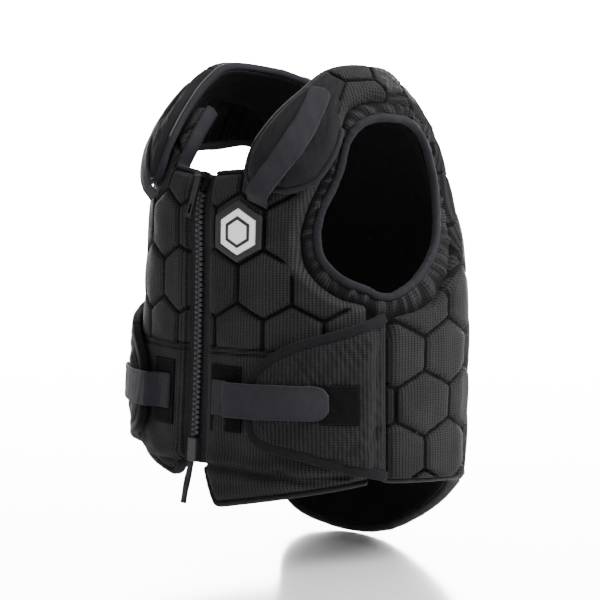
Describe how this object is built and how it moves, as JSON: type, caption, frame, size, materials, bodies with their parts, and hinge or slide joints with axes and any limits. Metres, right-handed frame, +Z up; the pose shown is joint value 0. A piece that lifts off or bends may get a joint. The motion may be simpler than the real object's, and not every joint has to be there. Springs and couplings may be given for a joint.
{
  "type": "equestrian body protector",
  "caption": "Child's riding body protector: foam front and back panels in hexagon blocks, lapped side wings, shoulder flaps, front zip and webbing straps.",
  "frame": {"origin": "seat of the shoulders, on the plane of symmetry, where the wearer's shoulders carry the vest", "axes": "+Z up, -Y out of the vest's front, +X to the wearer's left"},
  "size_m": [0.3188, 0.2656, 0.4363],
  "materials": {
    "mesh_fabric": "charcoal air mesh with a fine open grid, matte",
    "gathered_mesh": "charcoal air mesh, gathered",
    "binding": "smooth woven binding tape, slightly bluish dark grey",
    "webbing": "soft dark grey webbing with a brushed face",
    "hook_patch": "black hook and loop fabric",
    "zip_tape": "black woven zip tape",
    "zip_plastic": "black moulded zip teeth, satin",
    "zip_metal": "black lacquered metal, worn bright along the edges",
    "badge_black": "black soft moulded rim",
    "badge_white": "white soft moulded plate, matte"
  },
  "bodies": {
    "root": {"front_panel_left": "mesh_fabric", "front_panel_right": "mesh_fabric", "back_panel": "mesh_fabric", "side_wing_left": "mesh_fabric", "side_wing_right": "mesh_fabric", "wing_binding_left": "binding", "wing_binding_right": "binding", "shoulder_pad_left": "mesh_fabric", "shoulder_pad_right": "mesh_fabric", "pad_binding_left": "binding", "pad_binding_right": "binding", "shoulder_strap_left": "webbing", "shoulder_strap_right": "webbing", "front_patch_left": "hook_patch", "front_patch_right": "hook_patch", "wing_patch_left": "hook_patch", "wing_patch_right": "hook_patch", "waist_strap_left": "webbing", "waist_strap_right": "webbing", "armhole_gather_left": "gathered_mesh", "armhole_gather_right": "gathered_mesh", "armhole_binding_left": "binding", "armhole_binding_right": "binding", "front_neck_binding_left": "binding", "front_neck_binding_right": "binding", "front_hem_binding_left": "binding", "front_hem_binding_right": "binding", "back_neck_binding": "binding", "back_hem_binding": "binding", "zip_tape_left": "zip_tape", "zip_tape_right": "zip_tape", "zip_chain": "zip_plastic", "zip_box": "zip_plastic", "zip_slider": "zip_metal", "badge_rim": "badge_black", "badge_plate": "badge_white", "hem_tab": "webbing"},
    "zip_pull": {"zip_pull": "zip_metal"}
  },
  "joints": [
    {"name": "zip_pull_hinge", "type": "hinge", "parent": "root", "child": "zip_pull", "pos_m": [0, -0.12243, -0.07668], "axis": [-1, 0, 0], "range_deg": [0, 150]}
  ]
}
